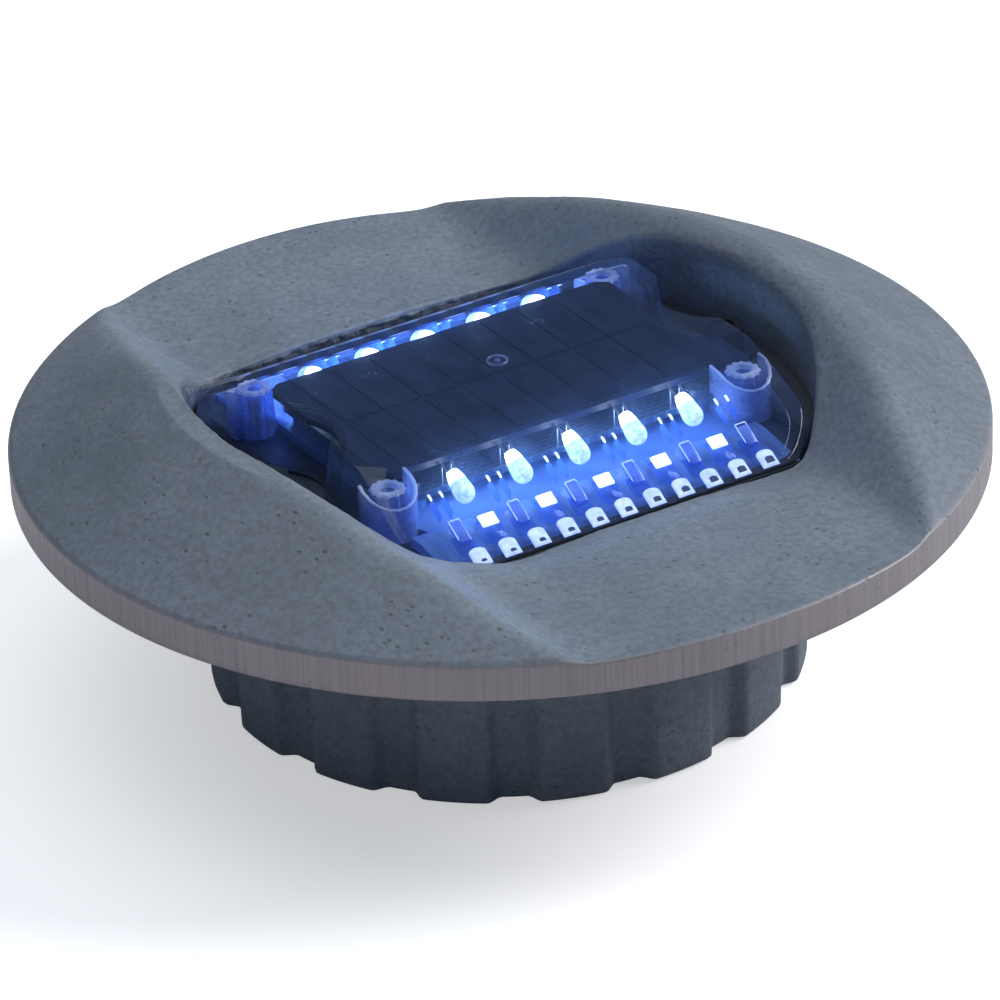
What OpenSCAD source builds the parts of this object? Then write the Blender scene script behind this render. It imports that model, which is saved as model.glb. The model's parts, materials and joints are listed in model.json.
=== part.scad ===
// A cast-iron road stud that lies in a core-drilled hole, with a sealed, solar-charged lamp insert.
// Millimetres, +Z up. X runs along the rows of lamps, and the lamps shine towards -Y and +Y.
// The origin is the centre of the skirt's bottom face.

/* [Casting] */
// Diameter of the flange that lies on the road
flange_d = 230; // [226:1:236]
// Thickness of the machined rim
rim_h = 9.1; // [8.5:0.1:10]
// Height of the two guard shoulders above the rim
shoulder_h = 18.9; // [17.5:0.1:20]
// Plan radius of the shoulders' inner crest
crest_r = 79; // [78:0.5:81]
// Diameter of the fluted skirt at its bottom
skirt_d = 142.4; // [141:0.2:144]
// How far the skirt goes down below the flange
skirt_h = 54; // [52:1:60]
// Number of flutes round the skirt
flutes = 16; // [12:1:18]
// Depth of each flute
flute_depth = 2.9; // [2:0.1:3.2]
// Angle of the first lobe's centre from the X axis
flute_turn = 2.5; // [0:0.5:10]
// Half the width of the wheel ramps between their valley lines
ramp_half_w = 47; // [45:0.5:48]
// Radius of the well that takes the insert
well_r = 74; // [74:0.5:75]
// Half the length of the well along Y
well_half_y = 58; // [57.5:0.5:58.5]

/* [Insert] */
// Half the length of the clear cover's flat top, along Y
top_half_y = 28.7; // [28:0.1:29.2]
// Height of the cover's flat top above the rim
top_above_rim = 14.9; // [14.5:0.1:15.5]
// Thickness of the cover's flat top
top_t = 3; // [2.6:0.1:3]
// Thickness of the cover's sloping faces
face_t = 2.4; // [2.2:0.1:2.5]
// Radius of the screw notch in each end of the cover
notch_r = 14; // [13:0.1:14.2]
// Distance of each fixing screw from the centre
screw_x = 63; // [62.8:0.1:63.2]

/* [Lamps] */
// Distance between neighbouring lamps
lamp_pitch = 15.6; // [15:0.1:15.8]
// Diameter of a lamp's body
lamp_d = 5; // [4.8:0.1:5]

/* [Hidden] */
$fn = 96;
lamps = 5;
eps = 0.5;

// Levels of the casting
flange_z = skirt_h;
rim_z = flange_z + rim_h;
crest_z = rim_z + shoulder_h;
ledge_z = flange_z + 3;
pocket_floor_z = 12;
flange_r = flange_d / 2;
skirt_r = skirt_d / 2;
skirt_draft = 1.4;
lip_r = 5.2;
flute_r = 9;
pocket_r = 62;
pocket_half_y = 50;
boss_r = 8.5;

// Levels of the insert
gasket_t = 1.2;
tray_flange_t = 2.2;
seal_t = 0.8;
tray_flange_z = ledge_z + gasket_t;
deck_z = tray_flange_z + tray_flange_t;
cover_z = deck_z + seal_t;
cover_half_y = 56;
cover_half_x = 56.5;
cover_r = 72.5;
cover_lip_z = cover_z + 0.9;
top_z = rim_z + top_above_rim;
wall_t = 3;
face_a = atan2(top_z - cover_lip_z, cover_half_y - top_half_y);
post_x = 48.5;
post_y = 30;
post_r = 4.6;

// Levels inside the insert
tray_z = 16;
tray_half_x = 44;
tray_half_y = 40;
tray_wall = 3;
tray_floor_z = tray_z + 2.5;
carrier_t = 2.2;
board_z = 66;
board_t = 1.6;
board_top = board_z + board_t;
board_half_x = 42.5;
board_half_y = 28.5;
stud_x = 38.5;
stud_y = 24;
spacer_h = 4.8;
laminate_z = board_top + spacer_h;
laminate_t = 1.6;
cell_t = 0.35;
lamp_depth = 5.35;
lamp_start = 4;
lamp_len = 8.7;
lead_y = 27.3;
battery_r = 13;
battery_len = 65;
battery_y = 14;
battery_z = tray_floor_z + 2.5 + battery_r;
foam_top_z = battery_z + battery_r + 7.5;

// M6 hardware
screw_r = 3;
screw_gap = 0.05;
washer_t = 1.6;
spring_t = 1.5;
head_z = deck_z + washer_t + spring_t;
head_h = 4;
shank_z = ledge_z - 22;

// Plan outlines

// Rounds the corners that stick out of a plan
module soften(radius) {
    offset(r = radius) offset(delta = -radius) children();
}

// Points along an arc, from just after its start to its end
function arc(x, y, radius, start, end, steps) =
    [for (i = [1 : steps]) let (a = start + (end - start) * i / steps) [x + radius * cos(a), y + radius * sin(a)]];

// A disc with two straight sides parallel to X, and round corners where they meet its arcs
module flatted_disc(radius, half_y, corner) {
    y = half_y - corner;
    x = sqrt(pow(radius - corner, 2) - pow(y, 2));
    a = atan2(y, x);
    polygon(concat(
        arc(0, 0, radius, -a, a, 30), arc(x, y, corner, a, 90, 5),
        [[-x, half_y]], arc(-x, y, corner, 90, 180 - a, 5),
        arc(0, 0, radius, 180 - a, 180 + a, 30), arc(-x, -y, corner, 180 + a, 270, 5),
        [[x, -half_y]], arc(x, -y, corner, 270, 360 - a, 5)
    ));
}

module at_both_ends(x) {
    for (side = [-1, 1]) translate([side * x, 0]) children();
}

module at_corners(x, y) {
    for (sx = [-1, 1], sy = [-1, 1]) translate([sx * x, sy * y]) children();
}

// The clear cover from above, with a screw notch in each end
module cover_plan(inset = 0) {
    offset(delta = -inset) soften(6) difference() {
        intersection() {
            circle(cover_r, $fn = 120);
            square([2 * cover_half_x, 2 * cover_half_y], center = true);
        }
        at_both_ends(screw_x) circle(notch_r, $fn = 72);
    }
}

module pocket_plan() {
    difference() {
        flatted_disc(pocket_r, pocket_half_y, 6);
        at_both_ends(screw_x) circle(boss_r);
    }
}

module rounded_box(half_x, half_y, radius, z0, z1) {
    translate([0, 0, z0]) linear_extrude(z1 - z0)
        soften(radius) square([2 * half_x, 2 * half_y], center = true);
}

// Draws a YZ outline along X, from -half_x to +half_x
module along_x(half_x) {
    rotate([90, 0, 90]) linear_extrude(2 * half_x, center = true) children();
}

// Casting

// Height of the shoulders' outer slope at radius r
function slope_z(r) = let (u = (flange_r - r) / (flange_r - crest_r))
    rim_z + shoulder_h * (0.75 * u + 0.25 * sin(90 * u));

// The casting's upper part as a turned shape: rim, outer slope and rounded crest
module turned_top() {
    rotate_extrude() polygon(concat(
        [[0, flange_z], [flange_r, flange_z]],
        [for (i = [0 : 8]) let (r = flange_r - i * (flange_r - crest_r) / 8) [r, slope_z(r)]],
        [for (a = [75 : -15 : 0]) [crest_r - lip_r * cos(a), crest_z - lip_r + lip_r * sin(a)]],
        [[0, crest_z - lip_r]]
    ));
}

// What the wheels' path takes away: a crowned floor between two flanks at 42 degrees
module wheel_channel() {
    crown = 1.9;
    flank_w = 26;
    rotate([90, 0, 0]) linear_extrude(flange_d + 2, center = true) polygon(concat(
        [for (i = [-8 : 8]) let (x = i * ramp_half_w / 8)
            [x, rim_z + 0.2 - crown * pow(x / ramp_half_w, 2)]],
        [[ramp_half_w + flank_w, rim_z + 0.2 - crown + flank_w * tan(42)],
            [-ramp_half_w - flank_w, rim_z + 0.2 - crown + flank_w * tan(42)]]
    ));
}

module fluted_skirt() {
    difference() {
        cylinder(h = skirt_h + 1, r1 = skirt_r, r2 = skirt_r + skirt_draft);
        for (i = [0 : flutes - 1]) rotate([0, 0, flute_turn + (i + 0.5) * 360 / flutes])
            translate([skirt_r - flute_depth + flute_r, 0, 0])
            rotate([0, atan(skirt_draft / skirt_h), 0])
            translate([0, 0, -3]) cylinder(h = skirt_h + 6, r = flute_r);
    }
}

module housing_casting() {
    color("dimgray") difference() {
        union() {
            difference() {
                turned_top();
                wheel_channel();
            }
            fluted_skirt();
        }
        translate([0, 0, ledge_z]) linear_extrude(crest_z) flatted_disc(well_r, well_half_y, 9);
        translate([0, 0, pocket_floor_z]) linear_extrude(crest_z) pocket_plan();
        at_both_ends(screw_x) translate([0, 0, shank_z - 3])
            cylinder(h = crest_z, r = screw_r + screw_gap);
    }
}

module ledge_gasket() {
    color("black") difference() {
        translate([0, 0, ledge_z]) linear_extrude(gasket_t) difference() {
            flatted_disc(cover_r - 0.5, cover_half_y, 8);
            pocket_plan();
        }
        at_both_ends(screw_x) translate([0, 0, ledge_z - 1]) cylinder(h = 5, r = screw_r + 0.4);
    }
}

// Insert: sealed case

module base_tray() {
    color("darkslategray") difference() {
        union() {
            translate([0, 0, tray_flange_z]) linear_extrude(tray_flange_t)
                flatted_disc(cover_r, cover_half_y + 0.4, 8);
            rounded_box(tray_half_x, tray_half_y, 8, tray_z, tray_flange_z + eps);
        }
        rounded_box(tray_half_x - tray_wall, tray_half_y - tray_wall, 5, tray_floor_z, crest_z);
        at_both_ends(screw_x) translate([0, 0, tray_z]) cylinder(h = crest_z, r = screw_r + screw_gap);
        at_corners(post_x, post_y) translate([0, 0, tray_z]) cylinder(h = crest_z, r = 1.6);
    }
}

module cover_gasket() {
    color("black") translate([0, 0, deck_z]) linear_extrude(seal_t) difference() {
        cover_plan(0.3);
        cover_plan(wall_t - 0.2);
    }
}

// YZ outline of the cover's outside
module roof_outline() {
    polygon([[-cover_half_y, cover_z], [cover_half_y, cover_z], [cover_half_y, cover_lip_z],
        [top_half_y, top_z], [-top_half_y, top_z], [-cover_half_y, cover_lip_z]]);
}

// YZ outline of the space inside: parallel to the faces, and open at the bottom
module roof_inside() {
    low_y = cover_half_y - wall_t;
    face_y = top_half_y - face_t * sin(face_a);
    face_z = top_z - face_t * cos(face_a);
    in_y = face_y + (top_t - face_t * cos(face_a)) / tan(face_a);
    low_z = face_z - (low_y - face_y) * tan(face_a);
    polygon([[-low_y, cover_z - eps], [low_y, cover_z - eps], [low_y, low_z],
        [in_y, top_z - top_t], [-in_y, top_z - top_t], [-low_y, low_z]]);
}

module lens_cover() {
    color("lightskyblue", 0.4) difference() {
        intersection() {
            along_x(cover_half_x + 1) roof_outline();
            translate([0, 0, cover_z]) linear_extrude(top_z) cover_plan();
            union() {
                difference() {
                    cube(4 * crest_z, center = true);
                    intersection() {
                        along_x(cover_half_x) roof_inside();
                        translate([0, 0, cover_z - eps]) linear_extrude(top_z) cover_plan(wall_t);
                    }
                }
                at_corners(post_x, post_y) cylinder(h = crest_z, r = post_r);
            }
        }
        at_corners(post_x, post_y) translate([0, 0, cover_z - 1]) cylinder(h = 10, r = 1.55);
    }
}

module cover_screws() {
    color("silver") at_corners(post_x, post_y) {
        translate([0, 0, tray_flange_z - 1.2]) cylinder(h = 1.2, r = 2.8);
        translate([0, 0, tray_flange_z - eps]) cylinder(h = cover_z + 8 - tray_flange_z + eps, r = 1.5);
    }
}

// Insert: board and solar panel

module board_carrier() {
    color("gray") difference() {
        union() {
            rounded_box(43.4, 39.3, 6, deck_z, deck_z + carrier_t);
            at_corners(stud_x, stud_y) translate([0, 0, deck_z]) cylinder(h = board_z - deck_z, r = 3);
            for (side = [-1, 1]) translate([-10, side * 25 - 2, foam_top_z])
                cube([20, 4, deck_z - foam_top_z + 1]);
        }
        rounded_box(34, 22.5, 4, deck_z - 1, board_z);
        at_corners(stud_x, stud_y) translate([0, 0, deck_z - 1]) cylinder(h = 10, r = 1.05);
    }
}

module circuit_board() {
    color("darkgreen") difference() {
        rounded_box(board_half_x, board_half_y, 2, board_z, board_top);
        at_corners(stud_x, stud_y) translate([0, 0, board_z - 1]) cylinder(h = 5, r = 1.05);
    }
}

module board_screws() {
    color("silver") at_corners(stud_x, stud_y) {
        translate([0, 0, deck_z + 1]) cylinder(h = board_top - deck_z, r = 1);
        translate([0, 0, board_top]) cylinder(h = 1.3, r = 1.9);
    }
}

// The parts under the board hang down through the carrier's opening
module controller_chip() {
    color("black") translate([-12, -4, board_z - 1.6]) cube([9, 9, 1.6]);
}

module power_inductor() {
    color("dimgray") translate([16, -8, board_z - 5]) difference() {
        cylinder(h = 5, r = 5);
        translate([0, 0, 1.2]) rotate_extrude() translate([4, 0]) square([2, 2.6]);
    }
}

module board_capacitors() {
    color("tan") for (i = [0 : 5]) translate([-26 + 4.5 * i, 12, board_z - 1.3]) cube([2, 3.2, 1.3]);
}

module battery_connector() {
    color("ivory") translate([22, 6, board_z - 6]) difference() {
        cube([6, 8, 6]);
        translate([1, 1, -1]) cube([4, 6, 5]);
    }
}

module panel_spacer() {
    color("gray") difference() {
        rounded_box(33, 19, 3, board_top, laminate_z);
        rounded_box(30.5, 16.5, 2, board_top - 1, laminate_z + 1);
    }
}

module panel_pins() {
    color("gold") for (side = [-1, 1]) translate([side * 3.8, 0, board_top])
        cylinder(h = spacer_h, r = 0.5);
}

module laminate_plan() {
    soften(2.5) difference() {
        square([94, 53], center = true);
        at_both_ends(screw_x) circle(notch_r + 3.6);
        at_corners(post_x, post_y) circle(post_r + 0.8);
    }
}

module solar_laminate() {
    color("midnightblue") translate([0, 0, laminate_z]) linear_extrude(laminate_t) laminate_plan();
}

module solar_cells() {
    columns = 8;
    pitch = 10.3;
    color("navy") for (i = [0 : columns - 1], side = [-1, 1])
        translate([(i - (columns - 1) / 2) * pitch - 4.9, side * 12.6 - 11.9, laminate_z + laminate_t])
            cube([9.8, 23.8, cell_t]);
}

// Insert: lamps

// Moves a shape to a lamp's place: its own Z then points down the sloping face, and outwards
module at_lamp(i, side) {
    y = top_half_y + lamp_start * cos(face_a) - lamp_depth * sin(face_a);
    z = top_z - lamp_start * sin(face_a) - lamp_depth * cos(face_a);
    translate([(i - (lamps + 1) / 2) * lamp_pitch, 0, 0]) rotate([0, 0, side > 0 ? 180 : 0])
        translate([0, -y, z]) rotate([90 + face_a, 0, 0]) children();
}

module lamp() {
    color("aliceblue") {
        cylinder(h = 1, r = lamp_d / 2 + 0.3);
        cylinder(h = lamp_len - lamp_d / 2, r = lamp_d / 2);
        translate([0, 0, lamp_len - lamp_d / 2]) sphere(lamp_d / 2);
    }
}

// Two legs for each lamp: back along its axis, then down to the board
module led_leads() {
    leg_r = 0.25;
    y = top_half_y + lamp_start * cos(face_a) - lamp_depth * sin(face_a);
    z = top_z - lamp_start * sin(face_a) - lamp_depth * cos(face_a);
    back = (y - lead_y) / cos(face_a);
    color("silver") for (i = [1 : lamps], side = [-1, 1], leg = [-1.27, 1.27]) {
        translate([leg, 0, 0]) at_lamp(i, side) translate([0, 0, -back - leg_r])
            cylinder(h = back + leg_r, r = leg_r);
        translate([(i - (lamps + 1) / 2) * lamp_pitch + leg, side * lead_y, board_top])
            cylinder(h = z + back * sin(face_a) - board_top, r = leg_r);
    }
}

// A clear bar that turns the light level: one prism block before each lamp gap, small ribs below
module prism_bar(side) {
    half_x = 40;
    in_y = 41.5;
    out_y = 51.6;
    rib_w = 3.6;
    slope = tan(face_a);
    top = function (y) top_z - face_t / cos(face_a) - (y - top_half_y) * slope - 0.5;
    color("lightskyblue", 0.5) rotate([0, 0, side > 0 ? 180 : 0]) {
        along_x(half_x) polygon([[-in_y, deck_z], [-out_y, deck_z], [-out_y, deck_z + 0.5],
            [-in_y, top(in_y) - 3.2]]);
        for (i = [-2.5 : 2.5]) translate([i * lamp_pitch * 0.99, 0, 0]) along_x(rib_w / 2)
            polygon([[-in_y, deck_z + eps], [-in_y - 5, deck_z + eps], [-in_y - 5, top(in_y + 5)],
                [-in_y, top(in_y)]]);
    }
}

// Insert: battery

module battery_cells() {
    color("steelblue") for (side = [-1, 1]) translate([-battery_len / 2, side * battery_y, battery_z])
        rotate([0, 90, 0]) {
            cylinder(h = battery_len, r = battery_r);
            translate([0, 0, battery_len]) cylinder(h = 1.5, r = 3);
        }
}

module battery_cradle() {
    color("gray") difference() {
        rounded_box(30, 30, 3, tray_floor_z, battery_z - 4);
        for (side = [-1, 1]) translate([-50, side * battery_y, battery_z]) rotate([0, 90, 0])
            cylinder(h = 100, r = battery_r + 0.05);
    }
}

module foam_pad() {
    color("black") difference() {
        rounded_box(26, 27, 3, battery_z + 4, foam_top_z);
        for (side = [-1, 1]) translate([-50, side * battery_y, battery_z]) rotate([0, 90, 0])
            cylinder(h = 100, r = battery_r + 0.05);
    }
}

// One wire from each cell's end, up beside the foam pad and across to the connector
module battery_wires() {
    wire_r = 0.9;
    bend_r = 1.05;
    start_x = battery_len / 2 + 1.5 + bend_r;
    bend_z = foam_top_z + 2.2;
    color("red") for (i = [0, 1]) let (start_y = (2 * i - 1) * battery_y, end_x = 25, end_y = 8.2 + 3.6 * i) {
        translate([start_x, start_y, battery_z]) {
            sphere(bend_r);
            cylinder(h = bend_z - battery_z, r = wire_r);
        }
        translate([start_x, start_y, bend_z]) {
            sphere(bend_r);
            rotate([0, 0, atan2(end_y - start_y, end_x - start_x)]) rotate([0, 90, 0])
                cylinder(h = norm([end_x - start_x, end_y - start_y]), r = wire_r);
        }
        translate([end_x, end_y, bend_z]) {
            sphere(bend_r);
            cylinder(h = board_z - 2 - bend_z, r = wire_r);
        }
    }
}

// Fixing hardware

module washer(side) {
    color("silver") translate([side * screw_x, 0, deck_z]) difference() {
        cylinder(h = washer_t, r = 8);
        translate([0, 0, -1]) cylinder(h = 4, r = screw_r + screw_gap);
    }
}

module spring_washer(side) {
    color("gray") translate([side * screw_x, 0, deck_z + washer_t]) difference() {
        cylinder(h = spring_t, r = 5.2);
        translate([0, 0, -1]) cylinder(h = 4, r = screw_r + screw_gap);
        rotate([0, 0, 40]) translate([0, -0.5, -1]) cube([8, 1, 4]);
    }
}

module fixing_screw(side) {
    color("silver") translate([side * screw_x, 0, 0]) {
        translate([0, 0, shank_z]) cylinder(h = head_z - shank_z + eps, r = screw_r);
        difference() {
            translate([0, 0, head_z]) cylinder(h = head_h, r = 10 / sqrt(3), $fn = 6);
            translate([0, 0, head_z + head_h - 0.4]) cylinder(h = 1, r = 3.2);
        }
    }
}

housing_casting();
ledge_gasket();
base_tray();
cover_gasket();
lens_cover();
cover_screws();
board_carrier();
circuit_board();
board_screws();
controller_chip();
power_inductor();
board_capacitors();
battery_connector();
panel_spacer();
panel_pins();
solar_laminate();
solar_cells();
for (i = [1 : lamps]) {
    at_lamp(i, -1) lamp();
    at_lamp(i, 1) lamp();
}
led_leads();
prism_bar(-1);  // front_prism_bar
prism_bar(1);  // rear_prism_bar
battery_cells();
battery_cradle();
foam_pad();
battery_wires();
washer(-1);  // left_washer
washer(1);  // right_washer
spring_washer(-1);  // left_spring_washer
spring_washer(1);  // right_spring_washer
fixing_screw(-1);  // left_fixing_screw
fixing_screw(1);  // right_fixing_screw
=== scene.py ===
"""Looks of a cast-iron road stud with a lit, clear-topped insert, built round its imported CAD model."""

import json
import math

import bmesh
import bpy
import numpy as np
from mathutils import Matrix, Vector, noise


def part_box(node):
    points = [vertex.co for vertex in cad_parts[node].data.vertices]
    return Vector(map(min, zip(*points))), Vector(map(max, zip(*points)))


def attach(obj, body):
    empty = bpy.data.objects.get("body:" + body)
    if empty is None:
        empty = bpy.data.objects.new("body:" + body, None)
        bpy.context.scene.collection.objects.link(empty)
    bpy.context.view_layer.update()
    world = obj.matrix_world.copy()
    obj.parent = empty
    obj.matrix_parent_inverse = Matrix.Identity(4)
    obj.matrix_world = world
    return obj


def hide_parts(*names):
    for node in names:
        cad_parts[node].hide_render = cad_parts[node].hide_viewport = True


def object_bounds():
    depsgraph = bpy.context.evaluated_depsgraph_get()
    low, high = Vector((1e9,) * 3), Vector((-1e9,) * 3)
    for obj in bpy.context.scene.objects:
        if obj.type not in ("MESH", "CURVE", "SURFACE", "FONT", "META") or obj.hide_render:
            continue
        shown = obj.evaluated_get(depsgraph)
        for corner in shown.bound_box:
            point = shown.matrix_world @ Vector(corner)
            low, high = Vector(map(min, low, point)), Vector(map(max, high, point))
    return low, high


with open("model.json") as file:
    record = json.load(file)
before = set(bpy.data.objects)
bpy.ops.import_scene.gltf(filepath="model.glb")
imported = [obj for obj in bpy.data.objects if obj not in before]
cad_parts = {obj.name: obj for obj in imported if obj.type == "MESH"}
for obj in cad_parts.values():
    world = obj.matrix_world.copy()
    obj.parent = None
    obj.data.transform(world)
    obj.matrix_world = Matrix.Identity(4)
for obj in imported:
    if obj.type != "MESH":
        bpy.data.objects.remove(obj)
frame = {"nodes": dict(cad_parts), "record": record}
cad_low, cad_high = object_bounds()

MM = 0.001

# Levels and radii of the casting, from the frame
mounts = {m["name"]: m for m in frame["record"]["mounts"]}
FLANGE_Z = mounts["flange_underside"]["pos_m"][2] / MM
FLANGE_R = mounts["flange_rim"]["dims"]["r_mm"]
RIM_Z = FLANGE_Z + mounts["flange_rim"]["dims"]["length_mm"]
CREST_Z = cad_high.z / MM
LEDGE_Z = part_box("ledge_gasket")[0].z / MM
DECK_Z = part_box("base_tray")[1].z / MM
SCREW_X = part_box("right_washer")[0].x / MM / 2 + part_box("right_washer")[1].x / MM / 2

# The casting's own shape
CREST_R = 76.4
CREST_OFFSET = 1.9
CREST_ROUND = 4.5
OUTER_SLOPE = 0.545
LIP_R = 0.9
RAMP_HALF_W = 47.0
RAMP_DISH = 1.9
RAMP_DIP = 1.5
GUARD_SLOPE = math.tan(math.radians(42))
ROOT_R = 3.0
FOOT_EDGE_R = 1.5
SKIRT_R = 71.2
SKIRT_DRAFT = 1.4
FLUTES = 16
FLUTE_DEPTH = 2.9
FLUTE_TURN = 2.5
WELL_R = 74.0
FRONT_WELL_Y = 57.0
REAR_WELL_Y = 58.8
POCKET_R = 62.0
POCKET_HALF_Y = 50.0
BOSS_R = 8.5
SCREW_HOLE_R = 3.05
POCKET_FLOOR_Z = 12.0

# The clear cover, from the frame where it can be
cover_low, cover_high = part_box("lens_cover")
COVER_Z = cover_low.z / MM
TOP_Z = cover_high.z / MM
COVER_HALF_X = cover_high.x / MM
COVER_HALF_Y = cover_high.y / MM
COVER_R = 72.5
LIP_Z = COVER_Z + 0.9
TOP_HALF_Y = 28.7
TOP_T = 3.0
FACE_T = 2.4
WALL_T = 3.0
FOOT_T = 0.8
NOTCH_R = 14.0
CORNER_R = 6.0
COVER_DRAFT = 2.3
POST_X, POST_Y, POST_R = 48.5, 30.0, 4.6
RIBS, RIB_DEPTH = 12, 0.28
HOOK_R, HOOK_T = 6.4, 0.9
GATE_R = 2.6
FACE_ANGLE = math.atan2(TOP_Z - LIP_Z, COVER_HALF_Y - TOP_HALF_Y)

# Lamps
LAMPS = 5
LAMP_PITCH = 15.6
LAMP_R = 2.5
LAMP_LEN = 8.7

# Material slots of a prism bar, and of the cover, whose shell has slot 0. The bar's second and third slots
# paint light by emission and haze, its fifth paints shade, and the cover's third paints highlights.
PRISM, PAINTED_GLOW, PAINTED_SOFT_LIGHT, GUIDE, PAINTED_SHADE, BLOCK_TOP = range(6)
RIB, PAINTED_GLINT = 1, 2


# Small mathematics

def smooth_min(a, b, k):
    """The lower of a and b, blended where they are less than a few k apart."""
    low = np.minimum(a, b)
    return low - k * np.log(np.exp(-(a - low) / k) + np.exp(-(b - low) / k))


def smooth_step(t):
    t = np.clip(t, 0, 1)
    return t * t * (3 - 2 * t)


def soft_ramp(t, k):
    """0 below zero and t above it, blended over about k."""
    return k * np.logaddexp(0, t / k)


# Meshes: every builder works in millimetres

def make_object(name, points, faces, materials, body):
    """Turns points in millimetres and faces into an object that rides on a body."""
    mesh = bpy.data.meshes.new(name)
    mesh.from_pydata([tuple(c * MM for c in p) for p in points], [], faces)
    return finish_object(name, mesh, materials, body)


def object_from_bmesh(name, bm, materials, body):
    """Turns a bmesh in millimetres into an object that rides on a body."""
    bmesh.ops.scale(bm, vec=(MM, MM, MM), verts=bm.verts)
    mesh = bpy.data.meshes.new(name)
    bm.to_mesh(mesh)
    bm.free()
    return finish_object(name, mesh, materials, body)


def finish_object(name, mesh, materials, body):
    for material in materials:
        mesh.materials.append(material)
    mesh.polygons.foreach_set("use_smooth", [True] * len(mesh.polygons))
    obj = bpy.data.objects.new(name, mesh)
    bpy.context.scene.collection.objects.link(obj)
    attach(obj, body)
    return obj


def loft(rings, start_tip, end_tip):
    """Points and faces between closed rings of equal length, each end closed round its tip."""
    count = len(rings[0])
    points = np.concatenate(rings)
    faces = []
    for j in range(len(rings) - 1):
        a, b = j * count, (j + 1) * count
        faces += [(a + i, a + (i + 1) % count, b + (i + 1) % count, b + i) for i in range(count)]
    points = [tuple(p) for p in points]
    for ring_index, tip in ((0, start_tip), (len(rings) - 1, end_tip)):
        centre = len(points)
        points.append(tip)
        a = ring_index * count
        for i in range(count):
            pair = (a + (i + 1) % count, a + i) if ring_index == 0 else (a + i, a + (i + 1) % count)
            faces.append((*pair, centre))
    return points, faces


def set_attribute(obj, name, values):
    attribute = obj.data.attributes.new(name, "FLOAT", "POINT")
    attribute.data.foreach_set("value", np.asarray(values, np.float32))


# Materials: small helpers for node trees

def new_tree(name):
    material = bpy.data.materials.new(name)
    material.use_nodes = True
    tree = material.node_tree
    tree.nodes.clear()
    return material, tree


def put(tree, kind, inputs=None, **settings):
    """Adds a shader node, with its settings, and its inputs as values or as sockets to link."""
    made = tree.nodes.new("ShaderNode" + kind)
    for key, value in settings.items():
        setattr(made, key, value)
    for key, value in (inputs or {}).items():
        if isinstance(value, bpy.types.NodeSocket):
            tree.links.new(value, made.inputs[key])
        else:
            made.inputs[key].default_value = value
    return made


def place(tree, stretch=(1, 1, 1)):
    """The point on the object, in metres, stretched along its axes."""
    coords = put(tree, "TexCoord").outputs["Object"]
    if stretch == (1, 1, 1):
        return coords
    return put(tree, "Mapping", {"Vector": coords, "Scale": stretch}).outputs[0]


def grain(tree, scale, detail=3.0, roughness=0.55, stretch=(1, 1, 1)):
    return put(tree, "TexNoise", {"Vector": place(tree, stretch), "Scale": scale, "Detail": detail,
                                  "Roughness": roughness}).outputs["Fac"]


def curve(tree, value, low, high, to_low=0.0, to_high=1.0):
    """Maps low..high of a value to to_low..to_high, clamped."""
    return put(tree, "MapRange", {"Value": value, "From Min": low, "From Max": high,
                                  "To Min": to_low, "To Max": to_high}).outputs[0]


def math_node(tree, operation, a, b=0.0):
    return put(tree, "Math", {0: a, 1: b}, operation=operation).outputs[0]


def mix_colour(tree, factor, a, b):
    made = put(tree, "Mix", data_type="RGBA")
    for socket, value in ((made.inputs[0], factor), (made.inputs[6], a), (made.inputs[7], b)):
        if isinstance(value, bpy.types.NodeSocket):
            tree.links.new(value, socket)
        else:
            socket.default_value = value if isinstance(value, float) else (*value, 1)
    return made.outputs[2]


def bump(tree, height, distance, strength=1.0, normal=None):
    inputs = {"Height": height, "Distance": distance * MM, "Strength": strength}
    if normal is not None:
        inputs["Normal"] = normal
    return put(tree, "Bump", inputs).outputs[0]


def output(tree, shader):
    put(tree, "OutputMaterial", {"Surface": shader})


def moulded(name, dark, light, roughness, grain_scale=900, grain_depth=0.03, metallic=0.0, coat=0.0,
            stretch=(1, 1, 1), specular=0.5):
    """A plain finish with uneven colour, uneven gloss and a fine grain."""
    material, tree = new_tree(name)
    cloud = grain(tree, 60, 4, stretch=stretch)
    fine = grain(tree, grain_scale, 2, stretch=stretch)
    colour = mix_colour(tree, curve(tree, cloud, 0.35, 0.65), dark, light)
    speck = curve(tree, grain(tree, grain_scale * 2.3, 1), 0.68, 0.76)
    colour = mix_colour(tree, speck, colour, tuple(min(1, c * 1.2) for c in light))
    shader = put(tree, "BsdfPrincipled", {
        "Base Color": colour,
        "Roughness": curve(tree, fine, 0.3, 0.7, roughness - 0.07, roughness + 0.09),
        "Metallic": metallic,
        "Coat Weight": coat,
        "Specular IOR Level": specular,
        "Normal": bump(tree, fine, grain_depth, 0.6)})
    output(tree, shader.outputs[0])
    return material


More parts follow.
